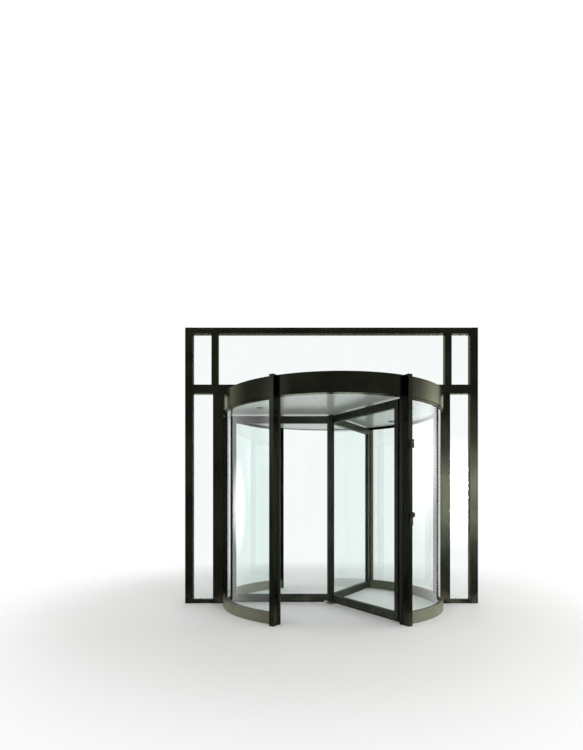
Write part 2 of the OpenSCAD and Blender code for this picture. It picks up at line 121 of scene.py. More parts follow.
stile_low, stile_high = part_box("wing_a_stile")
stile_out, stile_in = -stile_low.x, -stile_high.x
wing_low, wing_high = stile_low.z, stile_high.z
hub_arm_r = -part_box("wing_a_top_rail")[1].x
glass_low, glass_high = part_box("wing_a_bottom_rail")[1].z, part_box("wing_a_top_rail")[0].z
brush_low, brush_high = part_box("brush_seals")
tip_r = -brush_low.x
drum_r = -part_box("wall_base_left")[0].x
glass_r = drum_r - WALL_T / 2
base_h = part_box("wall_base_left")[1].z
clear_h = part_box("fascia_left")[0].z
post_out, jamb_in = -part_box("side_post_left")[0].x, -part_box("jamb_left")[1].x
sill_h, transom_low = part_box("sills")[1].z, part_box("transom")[0].z
transom_high, head_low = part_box("transom")[1].z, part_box("head_rail")[0].z
mullion_in, mullion_out = nearest("mullions", 0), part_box("mullions")[1].x
print("wing", round(hub_arm_r, 3), round(stile_in, 3), round(tip_r, 3), "drum", round(drum_r, 3))

# %% [markdown]
# ## Making shapes from rings of points
# Gaskets, screws and lenses are drawn shapes: a section that runs along a line, round a window or
# about an axis. All three are rings of points joined by quads, so one small class is enough for
# them. Ready-made cubes and cylinders would be shorter to write, but they have no lip, no
# chamfer and no dome, and those catch the light.


# %% Shapes
MERGE = 1e-6
SHARP = math.radians(35)


class Shape:
    """Gathers shells, in metres, and turns them into one piece of the door."""

    def __init__(self):
        self.points = []
        self.faces = []

    def skin(self, rings, closed=False, turn=Matrix()):
        """Joins rings of equally many points by quads; closed joins the last ring to the first."""
        start, size = len(self.points), len(rings[0])
        self.points += [turn @ Vector(point) for ring in rings for point in ring]
        for i in range(len(rings) if closed else len(rings) - 1):
            here, there = start + i * size, start + (i + 1) % len(rings) * size
            for j in range(size):
                k = (j + 1) % size
                self.faces.append((here + j, here + k, there + k, there + j))
        if not closed:
            last = start + (len(rings) - 1) * size
            self.faces.append(tuple(range(start + size - 1, start - 1, -1)))
            self.faces.append(tuple(range(last, last + size)))

    def lathe(self, section, turn, steps):
        """Turns a section of [radius, height] points about Z."""
        angles = [2 * math.pi * i / steps for i in range(steps)]
        self.skin([ring_at(section, angle) for angle in angles], closed=True, turn=turn)

    def piece(self, name, body, slot, finish, replaces=()):
        """The finished piece: smooth where the section is round, crisp at its corners."""
        mesh = bpy.data.meshes.new(name)
        mesh.from_pydata(self.points, [], self.faces)
        solid = bmesh.new()
        solid.from_mesh(mesh)
        bmesh.ops.remove_doubles(solid, verts=solid.verts, dist=MERGE)
        bmesh.ops.dissolve_degenerate(solid, edges=solid.edges, dist=MERGE)
        bmesh.ops.recalc_face_normals(solid, faces=solid.faces)
        solid.to_mesh(mesh)
        solid.free()
        mesh.shade_smooth()
        mesh.set_sharp_from_angle(angle=SHARP)
        mesh.materials.append(finish)
        made = bpy.data.objects.new(name, mesh)
        bpy.context.scene.collection.objects.link(made)
        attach(made, body)
        if replaces:
            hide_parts(*replaces)
        print(name, "faces", len(mesh.polygons))
        return made


def ring_at(section, angle):
    """A section of [radius, height] points, stood up at an angle about Z."""
    c, s = math.cos(angle), math.sin(angle)
    return [(r * c, r * s, z) for r, z in section]


print("1 m out, a quarter turn on:", [round(v, 3) for v in ring_at([(1, 0)], math.pi / 2)[0]])

# %% [markdown]
# ## Writing a finish as sums
# A finish is a small recipe: so much streak, so much cloud, a little dust near the floor. Linking
# nodes by hand hides that recipe, so a wrapped socket lets it be written as plain arithmetic. Each
# sign adds one Math node. Colours are mixed by a Mix node, because a Math node would turn them grey.


# %% A socket that takes signs
class Value:
    """A socket that carries a number, a vector or a colour; signs between numbers add Math nodes."""

    def __init__(self, recipe, socket):
        self.recipe = recipe
        self.socket = socket

    def math(self, operation, first, second):
        return self.recipe.add("Math", {"operation": operation}, {0: first, 1: second})

    def __add__(self, other):
        return self.math("ADD", self, other)

    def __radd__(self, other):
        return self.math("ADD", other, self)

    def __sub__(self, other):
        return self.math("SUBTRACT", self, other)

    def __rsub__(self, other):
        return self.math("SUBTRACT", other, self)

    def __mul__(self, other):
        return self.math("MULTIPLY", self, other)

    def __rmul__(self, other):
        return self.math("MULTIPLY", other, self)


# %% [markdown]
# ## One way to add a node
# Every other node is added by one method, which sets it up and links it in a single line. On it
# stand the few patterns that all the finishes share: cloudy noise, a soft step from one value to
# another, the height above the floor, and a bump. The patterns use the place on the door, in
# metres, so a streak keeps its size on a short bar and on a long one.


# %% Recipes for finishes
class Recipe:
    """Adds the nodes of one material or of the world."""

    def __init__(self, owner):
        owner.use_nodes = True
        self.tree = owner.node_tree
        self.tree.nodes.clear()

    def add(self, kind, settings=None, inputs=None, output=0):
        """A node of that kind: its settings come first, then the values or links of its sockets."""
        node = self.tree.nodes.new("ShaderNode" + kind)
        for name, setting in (settings or {}).items():
            setattr(node, name, setting)
        for name, value in (inputs or {}).items():
            if isinstance(value, Value):
                self.tree.links.new(value.socket, node.inputs[name])
            else:
                node.inputs[name].default_value = value
        return Value(self, node.outputs[output])

    def end(self, kind, shader):
        """Links a shader to the output of the material or the world."""
        output = self.tree.nodes.new("ShaderNode" + kind)
        self.tree.links.new(shader.socket, output.inputs["Surface"])

    def blend(self, share, first, second):
        """A colour between two others."""
        return self.add("Mix", {"data_type": "RGBA"}, {0: share, 6: first, 7: second}, output=2)

    def point(self):
        """The place on the door, in metres from the middle of its floor."""
        return self.add("TexCoord", output=3)

    def noise(self, scale, detail, stretch=(1, 1, 1)):
        """Cloudy values round 0.5; stretch squeezes the pattern along an axis."""
        squeezed = self.add("VectorMath", {"operation": "MULTIPLY"}, {0: self.point(), 1: stretch})
        return self.add("TexNoise", None, {"Vector": squeezed, "Scale": scale, "Detail": detail})

    def rise(self, value, low, high):
        """0 up to low, 1 from high on, and a smooth rise between them."""
        return self.add("MapRange", {"interpolation_type": "SMOOTHSTEP"},
                        {"Value": value, "From Min": low, "From Max": high})

    def height(self):
        """The height above the floor, in metres."""
        return self.add("SeparateXYZ", None, {0: self.point()}, output=2)

    def bump(self, height, distance, strength):
        """A normal bent by a fine relief, distance metres deep."""
        return self.add("Bump", None, {"Height": height, "Distance": distance, "Strength": strength})


def coat(name, recipe_of, **constants):
    """A material with one Principled shader, whose changing inputs come from recipe_of(recipe)."""
    material = bpy.data.materials.new(name)
    recipe = Recipe(material)
    inputs = {**constants, **recipe_of(recipe)}
    shader = recipe.add("BsdfPrincipled", None, inputs)
    recipe.end("OutputMaterial", shader)
    print("finish", name, "of", len(recipe.tree.nodes), "nodes")
    return material


def tone(red, green, blue):
    """An sRGB colour from 0 to 255, as the linear colour that a shader takes."""
    parts = [part / 255 for part in (red, green, blue)]
    linear = [p / 12.92 if p <= 0.04045 else ((p + 0.055) / 1.055) ** 2.4 for p in parts]
    return (*linear, 1.0)


WHITE = (1, 1, 1, 1)
print("mid grey, 128 of 255, is", round(tone(128, 128, 128)[0], 3), "in linear light")

# %% [markdown]
# ## Anodised aluminium
# The bars are extruded, brushed a little and anodised to a dark bronze. The die leaves fine lines
# along the bar, the bath leaves slow clouds, and feet and mops leave a pale film just above the
# floor. An image of brushed metal would repeat and would have no direction of its own, so the lines
# are noise squeezed across the bar: along Z on an upright, level on a rail. A plain metal turns white
# where light only grazes it. The oxide keeps its brown there too, so the grazing tint is warm. It is
# one bronze, but the frame gets darker tones as painted shade, and the wings and the base get lighter
# ones as painted light.

# %% Metal finishes
UPRIGHT = (1.0, 1.0, 0.012)
LEVEL = (0.012, 0.012, 1.0)
DUST_TOP = 0.22
DUST_SHARE = 0.22
DUST_TONE = tone(128, 122, 108)
GRAZING_TINT = (1.0, 1.0, 0.86, 1.0)
# One bronze in three tones: the frame's dark tones are painted shade.
FRAME_SHADED_TONES = tone(20, 21, 16), tone(33, 34, 27)
# The wings' lighter tones are painted light on the same bronze.
WING_LIT_TONES = tone(36, 39, 34), tone(54, 58, 51)
# The base's much lighter tones are painted light on the same bronze.
BASE_BRIGHT_LIT_TONES = tone(92, 95, 80), tone(112, 115, 97)


def anodised(name, tones, along, metallic, roughness):
    """Bronze metal between a dark and a light tone, with its fine lines along the bar."""
    def recipe_of(recipe):
        lines = recipe.noise(420, detail=2, stretch=along)
        clouds = recipe.noise(2.6, detail=4)
        near_floor = recipe.rise(recipe.height(), low=DUST_TOP, high=0.0)
        film = near_floor * recipe.rise(recipe.noise(9, detail=5), low=0.38, high=0.72)
        mixed = recipe.rise(clouds * 0.6 + lines * 0.4, low=0.36, high=0.64)
        colour = recipe.blend(mixed, *tones)
        return {
            "Base Color": recipe.blend(film * DUST_SHARE, colour, DUST_TONE),
            "Roughness": roughness + (lines - 0.5) * 0.16 + (clouds - 0.5) * 0.12 + film * 0.25,
            "Normal": recipe.bump(lines, distance=0.00004, strength=0.6),
        }

    return coat(name, recipe_of, **{"Metallic": metallic, "Specular Tint": GRAZING_TINT})


frame_upright = anodised("frame_upright", FRAME_SHADED_TONES, UPRIGHT, metallic=1.0, roughness=0.22)
frame_level = anodised("frame_level", FRAME_SHADED_TONES, LEVEL, metallic=1.0, roughness=0.22)
wing_upright = anodised("wing_upright", WING_LIT_TONES, UPRIGHT, metallic=0.9, roughness=0.32)
wing_level = anodised("wing_level", WING_LIT_TONES, LEVEL, metallic=0.9, roughness=0.32)
base_level = anodised("base_level", BASE_BRIGHT_LIT_TONES, LEVEL, metallic=0.6, roughness=0.38)

# %% [markdown]
# ## Glass
# The panes are clear float glass with a faint green cast. Real thickness and a refracting shader
# bend the view through them, and the edge of a reflection shows that something is there. A thin
# film of cleaning streaks changes the colour a little, and a slow wave in the surface keeps the
# reflections from being those of a perfect mirror.


# %% Glass finishes
def glass(name, clear, smeared):
    """Refracting glass between a clean and a smeared colour, with a slow wave in its surface."""
    def recipe_of(recipe):
        wiped = recipe.noise(3.5, detail=5, stretch=(1.0, 1.0, 0.35))
        wave = recipe.noise(1.3, detail=1)
        return {
            "Base Color": recipe.blend(recipe.rise(wiped, low=0.45, high=0.75), clear, smeared),
            "Normal": recipe.bump(wave, distance=0.004, strength=0.35),
        }

    return coat(name, recipe_of, **{"Roughness": 0.0, "IOR": 1.5, "Transmission Weight": 1.0})


clear_glass = glass("clear_glass", (0.915, 0.965, 0.955, 1), (0.89, 0.945, 0.93, 1))
screen_glass = glass("screen_glass", (0.92, 0.96, 0.955, 1), (0.90, 0.945, 0.935, 1))

# %% [markdown]
# ## Enamel and powder coat
# The ceiling is a pale enamelled panel, smooth enough to mirror the posts softly. The roof sheet is
# powder coated, with the fine peel of melted powder and the dust that nobody wipes off up there.
# Both get their peel from a bump, because modelled grains would cost faces that no view shows.


# %% Painted finishes
def enamel(recipe):
    clouds = recipe.noise(1.7, detail=3)
    peel = recipe.noise(160, detail=1)
    return {
        "Base Color": recipe.blend(clouds, tone(178, 183, 176), tone(193, 197, 190)),
        "Roughness": 0.16 + clouds * 0.08,
        "Normal": recipe.bump(peel, distance=0.00003, strength=0.5),
    }


def powder(recipe):
    clouds = recipe.noise(1.1, detail=2)
    peel = recipe.noise(300, detail=1)
    dust = recipe.rise(recipe.noise(5, detail=5), low=0.45, high=0.8)
    colour = recipe.blend(clouds, tone(36, 37, 34), tone(43, 44, 41))
    return {
        "Base Color": recipe.blend(dust * 0.12, colour, tone(120, 116, 106)),
        "Roughness": 0.42 + dust * 0.25,
        "Normal": recipe.bump(peel, distance=0.00004, strength=0.6),
    }


ceiling_white = coat("ceiling_white", enamel)
roof_powder = coat("roof_powder", powder)

# %% [markdown]
# ## Rubber, bristle and plastic
# Rubber blooms a little with age, the safety edges are a smoother rubber with streaks up the post,
# bristle is dull and nearly black, and the plastic of the button and the sensor has a fine moulded
# grain. All four mirror much less than paint does. DULL gives them about a third of the mirror share
# that a shader starts with, because the bright studio would otherwise turn them grey.

# %% Dull finishes
DULL = {"Specular IOR Level": 0.16}


def rubber(recipe):
    bloom = recipe.noise(38, detail=4)
    return {
        "Base Color": recipe.blend(bloom, tone(26, 26, 26), tone(44, 44, 43)),
        "Roughness": 0.48 + bloom * 0.25,
        "Normal": recipe.bump(recipe.noise(900, detail=2), distance=0.00005, strength=0.5),
    }


def strip(recipe):
    bloom = recipe.noise(26, detail=4, stretch=(1, 1, 0.2))
    return {
        "Base Color": recipe.blend(bloom, tone(15, 15, 15), tone(29, 29, 28)),
        "Roughness": 0.3 + bloom * 0.2,
        "Normal": recipe.bump(recipe.noise(700, detail=2), distance=0.00005, strength=0.5),
    }


def bristle(recipe):
    tuft = recipe.noise(240, detail=3)
    return {
        "Base Color": recipe.blend(tuft, tone(9, 9, 9), tone(24, 23, 22)),
        "Roughness": 0.5 + tuft * 0.2,
    }


def plastic(recipe):
    grain = recipe.noise(1100, detail=2)
    worn = recipe.noise(24, detail=3)
    return {
        "Base Color": recipe.blend(worn, tone(13, 13, 13), tone(24, 24, 24)),
        "Roughness": 0.36 + grain * 0.18,
        "Normal": recipe.bump(grain, distance=0.00008, strength=0.6),
    }


black_rubber = coat("black_rubber", rubber, **DULL)
strip_rubber = coat("strip_rubber", strip, **DULL)
black_bristle = coat("black_bristle", bristle, **DULL)
dark_plastic = coat("dark_plastic", plastic, **DULL)

# %% [markdown]
# ## Steel, lamps and lenses
# The floor bearing and the screws are turned steel, with rings round the axis. The cans of the lamps
# are dark metal, their lenses are frosted in small cells, and the sensor looks through a dark
# glossy dome. Rings and cells are noise again: squeezed along the axis for rings, even for cells.


# %% Steel and lamp finishes
def steel(recipe):
    rings = recipe.noise(700, detail=2, stretch=(1, 1, 0.05))
    clouds = recipe.noise(14, detail=3)
    return {
        "Base Color": recipe.blend(clouds, tone(74, 74, 71), tone(102, 101, 97)),
        "Roughness": 0.22 + rings * 0.2,
        "Normal": recipe.bump(rings, distance=0.00005, strength=0.6),
    }


def lamp_black(recipe):
    clouds = recipe.noise(60, detail=3)
    return {
        "Base Color": recipe.blend(clouds, tone(34, 34, 33), tone(48, 48, 46)),
        "Roughness": 0.3 + clouds * 0.15,
    }


def frosted(recipe):
    cells = recipe.noise(420, detail=2)
    return {
        "Base Color": recipe.blend(cells, tone(120, 122, 120), tone(150, 152, 150)),
        "Roughness": 0.18 + cells * 0.2,
        "Normal": recipe.bump(cells, distance=0.0002, strength=0.5),
    }


def dark_eye(recipe):
    depth = recipe.noise(90, detail=2)
    return {
        "Base Color": recipe.blend(depth, tone(14, 9, 12), tone(30, 14, 18)),
        "Roughness": 0.08 + depth * 0.08,
    }


turned_steel = coat("turned_steel", steel, Metallic=1.0)
lamp_metal = coat("lamp_metal", lamp_black, Metallic=0.5)
lens_glass = coat("lens_glass", frosted)
eye_plastic = coat("eye_plastic", dark_eye, **{"Coat Weight": 1.0, "Coat Roughness": 0.03})

# %% [markdown]
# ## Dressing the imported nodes
# Most bars are right as they come: exact, chamfered and grooved. They stay where they are and only
# get the finish that belongs to them, upright or level.

# %% Finish of each node
WINGS = "abc"
finishes = {
    "jamb_left": frame_upright, "jamb_right": frame_upright, "mullions": frame_upright,
    "side_post_left": frame_upright, "side_post_right": frame_upright,
    "post_front_left": frame_upright, "post_front_right": frame_upright,
    "post_rear_left": frame_upright, "post_rear_right": frame_upright,
    "head_rail": frame_level, "transom": frame_level,
    "closing_strip": frame_level, "sills": frame_level,
    "fascia_left": frame_level, "fascia_right": frame_level,
    "fascia_front": frame_level, "fascia_rear": frame_level,
    "canopy_roof": roof_powder, "wall_heads": frame_level, "bearing_beam": frame_level,
    "wall_base_left": base_level, "wall_base_right": base_level,
    "centre_column": wing_upright,
    "wall_glass_left_inner": clear_glass, "wall_glass_left_outer": clear_glass,
    "wall_glass_right_inner": clear_glass, "wall_glass_right_outer": clear_glass,
    "side_lights": screen_glass, "top_lights": screen_glass,
    "ceiling": ceiling_white, "post_strips": strip_rubber, "downlights": lamp_metal,
    "floor_bearing": turned_steel, "stop_button": dark_plastic, "sensor_box": dark_plastic,
    "brush_seals": black_bristle,
}
for wing in WINGS:
    finishes[f"wing_{wing}_top_rail"] = finishes[f"wing_{wing}_bottom_rail"] = wing_level
    finishes[f"wing_{wing}_stile"] = wing_upright
    finishes[f"wing_{wing}_glass"] = clear_glass
for name, finish in finishes.items():
    nodes[name].data.materials.clear()
    nodes[name].data.materials.append(finish)
    nodes[name].visible_shadow = finish not in (clear_glass, screen_glass)
bare = sorted(set(nodes) - set(finishes))
print("dressed", len(finishes), "of", len(nodes), "nodes; left:", bare)

# %% [markdown]
# ## Gaskets
# A pane never touches the metal. A glazier presses a rubber gasket in on both sides, and its soft
# lip stands a little over the edge of the bar as a thin black line round the glass. Round a flat
# pane the section is mitred at four corners, like a picture frame. LIP is that section: how far
# each point lies over the edge of the bar, and how far in front of the glass.

# %% Gaskets of the flat panes
LIP = [(-0.006, 0.0), (0.0016, 0.0), (0.0026, 0.001),
       (0.0022, 0.0028), (0.0004, 0.0033), (-0.006, 0.003)]


def gasket_frame(shape, pane_t, x1, x2, z1, z2, turn=Matrix()):
    """Gaskets on both faces of a pane in the XZ plane, round the opening between the bars."""
    for side in (-1, 1):
        rings = []
        for x, z, dx, dz in ((x1, z1, 1, 1), (x2, z1, -1, 1), (x2, z2, -1, -1), (x1, z2, 1, -1)):
            rings.append([(x + dx * a, side * (pane_t / 2 + h), z + dz * a) for a, h in LIP])
        shape.skin(rings, closed=True, turn=turn)


screen_gaskets = Shape()
for side in (-1, 1):
    low_x, high_x = sorted((side * post_out, side * jamb_in))
    gasket_frame(screen_gaskets, SCREEN_GLASS_T, low_x, high_x, sill_h, transom_low)
    low_x, high_x = sorted((side * mullion_out, side * jamb_in))
    gasket_frame(screen_gaskets, SCREEN_GLASS_T, low_x, high_x, transom_high, head_low)
gasket_frame(screen_gaskets, SCREEN_GLASS_T, -mullion_in, mullion_in, transom_high, head_low)
screen_gaskets.piece("screen_gaskets", "surround", "strip_rubber", black_rubber)

WING_ANGLE = {"a": 180, "b": -60, "c": 60}
wing_turn = {wing: Matrix.Rotation(math.radians(angle), 4, "Z")
             for wing, angle in WING_ANGLE.items()}
for wing in WINGS:
    gaskets = Shape()
    gasket_frame(gaskets, WING_GLASS_T, hub_arm_r, stile_in, glass_low, glass_high, wing_turn[wing])
    gaskets.piece(f"wing_{wing}_gaskets", "rotor", "strip_rubber", black_rubber)

# %% [markdown]
# ## Gaskets of the curved glass
# A curved pane stands between the nose of a side post and a drum post, on its base and under its
# rail. The same section is swept about the drum's axis along the top and the bottom, and runs
# straight up at both ends. Bending a straight gasket with a modifier would need the same radius
# again, so it is drawn on the arc from the start.

# %% Gaskets of the curved panes
POST_ANGLES = {"front_left": 240, "front_right": 300, "rear_left": 120, "rear_right": 60}
NOSE_ANGLES = {"left": 180, "right": 0}
WALL_SWEEP = math.radians(60)
WALL_STEPS = 40


def swing_of(post):
    """Which way round the drum a post lies from its side post: 1 or -1.

    The post's face on that side looks into the doorway.
    """
    return 1 if (POST_ANGLES[post] - NOSE_ANGLES[post.split("_")[1]]) % 360 < 180 else -1


def wall_gasket(shape, post):
    """Gaskets of one curved pane, between the nose of a side post and a drum post."""
    swing = swing_of(post)
    half_nose, half_post = (math.asin(width / 2 / glass_r) for width in (NOSE_W, POST_W))
    start = math.radians(NOSE_ANGLES[post.split("_")[1]]) + swing * half_nose
    end = start + swing * (WALL_SWEEP - half_nose - half_post)
    top = clear_h - HEAD_RAIL_H
    for side in (-1, 1):
        face = glass_r + side * GLASS_WALL_T / 2
        for z, up in ((base_h, 1), (top, -1)):
            section = [(face + side * h, z + up * a) for a, h in LIP]
            angles = [start + (end - start) * i / WALL_STEPS for i in range(WALL_STEPS + 1)]
            shape.skin([ring_at(section, angle) for angle in angles])
        for angle, inward in ((start, swing), (end, -swing)):
            radial = Vector((math.cos(angle), math.sin(angle), 0))
            tangent = Vector((-math.sin(angle), math.cos(angle), 0)) * inward
            foot = [radial * (face + side * h) + tangent * a for a, h in LIP]
            shape.skin([[p + Vector((0, 0, z)) for p in foot] for z in (base_h, top)])


wall_gaskets = Shape()
for post in POST_ANGLES:
    wall_gasket(wall_gaskets, post)
wall_gaskets.piece("wall_gaskets", "surround", "strip_rubber", black_rubber)

# %% [markdown]
# ## Safety edges
# Each post carries a hollow rubber profile along the doorway, which yields when a hand or a bag is
# caught between the post and a wing. The model has a plain half-round bar in its place. The
# real section is a soft tube between two thin lips that lie on the metal, with a fine groove
# where they meet, and a moulded plug closes each end. It is drawn as that one section and
# pulled up the post, narrower at the plugs.

# %% Safety edges of the posts
EDGE_INSET = 0.002
EDGE_W = 0.038
EDGE_T = 0.014
TUBE_HALF_W = 0.0136
TUBE_FOOT = 0.005
LIP_T = 0.0013
PLUG_SHARE = 0.86
PLUG_H = 0.004
edge_middle = drum_r - WALL_T + EDGE_INSET + EDGE_W / 2


def edge_section(steps=14):
    """Points [along the post's face, out of it] round the profile."""
    lip = [(-EDGE_W / 2, -LIP_T / 4), (-EDGE_W / 2, LIP_T * 0.6), (-EDGE_W / 2 + LIP_T, LIP_T),
           (-TUBE_HALF_W - LIP_T, LIP_T * 1.3), (-TUBE_HALF_W, LIP_T * 2)]
    tube = [(-TUBE_HALF_W * math.cos(t), TUBE_FOOT + (EDGE_T - TUBE_FOOT) * math.sin(t))
            for t in (math.pi * i / steps for i in range(steps + 1))]
    return lip + tube + [(-a, h) for a, h in reversed(lip)]


safety_edges = Shape()
for post, angle in POST_ANGLES.items():
    turn = Matrix.Rotation(math.radians(angle), 4, "Z")
    swing = swing_of(post)
    levels = ((PLUG_SHARE, 0), (1, PLUG_H), (1, clear_h - PLUG_H), (PLUG_SHARE, clear_h))
    rings = [[(edge_middle + a * share, swing * (POST_W / 2 + h * share), z)
              for a, h in edge_section()] for share, z in levels]
    safety_edges.skin(rings, turn=turn)
safety_edges.piece("safety_edges", "surround", "strip_rubber", strip_rubber, replaces=["post_strips"])

# %% [markdown]
# ## Brushes
# A strip of bristles closes the gap between a wing and the drum. In the model each one is a plain
# bar of the right size. Here a thin carrier holds rows of short bristles that lean a little at
# random. Hair particles would do, but their strands don't survive the export as meshes, so each
# bristle is a tapered ribbon, placed by one seeded draw of random numbers. A ribbon has a foot, a
# kink part way up, and a tip that leans further than the kink does.

# %% Bristles
BRISTLE_STEP = 0.0026
BRISTLE_ROWS = 5
BRISTLE_W = 0.0011
BRISTLE_T = BRUSH_T - 0.002
LEAN_ALONG = 0.0012
LEAN_ACROSS = LEAN_ALONG / 3
PLACE_IN_STEP = (0.2, 0.8)
REACH = (0.93, 0.995)
KINK_AT, KINK_LEAN, KINK_W = 0.6, 0.4, 0.8
SEED = 7
rng = np.random.default_rng(SEED)


def bristles(shape, start, end, out, length, turn):
    """Ribbons along the line from start to end, pointing along out."""
    start, end, out = (np.array(v, float) for v in (start, end, out))
    along = end - start
    count = int(np.linalg.norm(along) / BRISTLE_STEP)
    along_unit = along / np.linalg.norm(along)
    across = np.array((0.0, 1.0, 0.0))
    for row in range(BRISTLE_ROWS):
        y = (row / (BRISTLE_ROWS - 1) - 0.5) * (BRISTLE_T - BRISTLE_W)
        at = (np.arange(count) + rng.uniform(*PLACE_IN_STEP, count)) / count
        root = start + along * at[:, None] + across * y
        lean = along_unit * rng.normal(0, LEAN_ALONG, count)[:, None]
        lean = lean + across * rng.normal(0, LEAN_ACROSS, count)[:, None]
        reach = length * rng.uniform(*REACH, count)[:, None]
        twist = rng.uniform(0, math.pi, count)[:, None]
        flat = along_unit * np.cos(twist) + across * np.sin(twist)
        half = flat * BRISTLE_W / 2
        kink = root + out * reach * KINK_AT + lean * KINK_LEAN
        ribbon = [root - half, root + half, kink + half * KINK_W, kink - half * KINK_W,
                  root + out * reach + lean]
        points = np.stack(ribbon, 1).reshape(-1, 3)
        first, size = len(shape.points), len(ribbon)
        shape.points += [turn @ Vector(p) for p in points]
        for i in range(first, first + size * count, size):
            shape.faces += [(i, i + 1, i + 2, i + 3), (i + 3, i + 2, i + 4)]


print("bristles", BRISTLE_ROWS, "rows, one each", BRISTLE_STEP * 1000, "mm")

# %% [markdown]
# ## Brushes of the wings
# Each wing has three runs of brush: along its top, along its bottom from the floor bearing on, and
# up its outer edge. A run is a carrier, the bristles, and a thin core among them that closes the
# gaps between the ribbons, as the dense middle of a real brush does. Enough ribbons to close them
# alone would be ten times as many faces.

# %% Brush seals
CARRIER_H = 0.004
CORE_T = 0.0024
CORE_SHARE = 0.8
BEARING_GAP = 0.010
bearing_clear_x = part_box("floor_bearing")[1].x + BEARING_GAP


def bar(shape, x1, x2, z1, z2, thickness, turn):
    """A bar of the brush's carrier, in the wing's own plane."""
    half = thickness / 2
    corners = [(x1, z1), (x2, z1), (x2, z2), (x1, z2)]
    rings = [[(x, -half, z) for x, z in corners], [(x, half, z) for x, z in corners]]
    shape.skin(rings, turn=turn)


for wing in WINGS:
    turn = wing_turn[wing]
    brush = Shape()
    carrier = Shape()
    runs = [
        ((hub_arm_r, wing_high), (tip_r, wing_high), (0, 0, 1), brush_high.z - wing_high),
        ((bearing_clear_x, wing_low), (tip_r, wing_low), (0, 0, -1), wing_low - brush_low.z),
        ((stile_out, wing_low), (stile_out, wing_high), (1, 0, 0), tip_r - stile_out),
    ]
    for (x1, z1), (x2, z2), out, length in runs:
        bristles(brush, (x1, 0, z1), (x2, 0, z2), out, length, turn)
        ox, oz = out[0], out[2]
        bars = ((carrier, CARRIER_H, BRUSH_T), (brush, length * CORE_SHARE, CORE_T))
        for shape, depth, thickness in bars:
            xs = sorted((x1, x2 + ox * depth))
            zs = sorted((z1, z2 + oz * depth))
            x_end = min(xs[1], stile_out + (depth if ox else 0)) if shape is carrier else xs[1]
            bar(shape, xs[0], x_end, zs[0], zs[1], thickness, turn)
    carrier.piece(f"wing_{wing}_brush_carrier", "rotor", "bristle", black_rubber)
    brush.piece(f"wing_{wing}_brush", "rotor", "bristle", black_bristle, replaces=["brush_seals"])

# %% [markdown]
# ## Lenses
# The downlights have a slightly domed frosted lens deep in the dark can, and the sensor has a small
# dark dome in its round recess. Pressed glass and moulded plastic both have such a shallow curve,
# because a flat disc would flash as a whole from one side. Each dome is turned about its axis.

# %% Lenses
LAMP_TRIM_R = 0.046
CAN_DEPTH = 0.031
LENS_DROP = 0.002
LENS_R, LENS_BULGE, LENS_T = 0.0235, 0.004, 0.001
EYE_R, EYE_BULGE = 0.0095, 0.0022
EYE_UP = 0.014
EYE_DEPTH = 0.003
SENSOR_DEPTH = 0.032
DOME_STEPS = 32
lamp_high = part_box("downlights")[1]
lamp_x, lamp_y = lamp_high.x - LAMP_TRIM_R, lamp_high.y - LAMP_TRIM_R
ceiling_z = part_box("ceiling")[0].z


def dome(radius, height, thickness, steps=8):
    """Section of a shallow dome that bulges down, from its axis out and back."""
    curve = [(radius * math.sin(t), -height * math.cos(t)) for t in
             (math.pi / 2 * i / steps for i in range(steps + 1))]
    return curve + [(radius, thickness), (0, thickness)]


lenses = Shape()
for x in (-lamp_x, lamp_x):
    for y in (-lamp_y, lamp_y):
        at = Matrix.Translation((x, y, ceiling_z + CAN_DEPTH - LENS_DROP))
        lenses.lathe(dome(LENS_R, LENS_BULGE, LENS_T), at, DOME_STEPS)
lenses.piece("downlight_lenses", "surround", "lamp_metal", lens_glass)

FRONT_POST = Matrix.Rotation(math.radians(POST_ANGLES["front_right"]), 4, "Z")
OUT_OF_FACE = Matrix.Rotation(math.radians(-90), 4, "Y")
outward = FRONT_POST @ Vector((1, 0, 0))
sensor_r = max(vertex.co.dot(outward) for vertex in nodes["sensor_box"].data.vertices)
post_face_r = sensor_r - SENSOR_DEPTH
sensor_z = (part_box("sensor_box")[0].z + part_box("sensor_box")[1].z) / 2
eye_r = post_face_r + SENSOR_DEPTH - EYE_DEPTH
sensor_eye = Shape()
eye_at = FRONT_POST @ Matrix.Translation((eye_r, 0, sensor_z + EYE_UP)) @ OUT_OF_FACE
sensor_eye.lathe(dome(EYE_R, EYE_BULGE, 0.0), eye_at, DOME_STEPS)
sensor_eye.piece("sensor_eye", "surround", "dark_plastic", eye_plastic)

# %% [markdown]
# ## Access plates on the roof
# The top bearing and the wiring lie inside the canopy, so a fitter needs a way in from above. A
# chamfered plate lies over each opening, one on each side of the screen, on a thin black gasket
# that shows as a dark line all round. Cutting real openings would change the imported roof, and from
# outside nobody could tell, so the plates lie on it.

# %% Access plates
PLATE_SIZE = (0.62, 0.40)
PLATE_MIDDLE = 0.66
PLATE_T = 0.003
GASKET_T = 0.0015
GASKET_SHOWS = 0.003
PLATE_CORNER_R = 0.03
roof_top, roof_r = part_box("canopy_roof")[1].z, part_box("canopy_roof")[1].x


def rounded(size, inset, z, steps=8):
    """A ring of points round a rectangle with round corners, drawn in by inset."""
    radius = PLATE_CORNER_R - inset
    points = []
    for quarter, (sx, sy) in enumerate(((1, 1), (-1, 1), (-1, -1), (1, -1))):
        for i in range(steps + 1):
            angle = math.pi / 2 * (quarter + i / steps)
            points.append((sx * (size[0] / 2 - PLATE_CORNER_R) + radius * math.cos(angle),
                           sy * (size[1] / 2 - PLATE_CORNER_R) + radius * math.sin(angle), z))
    return points


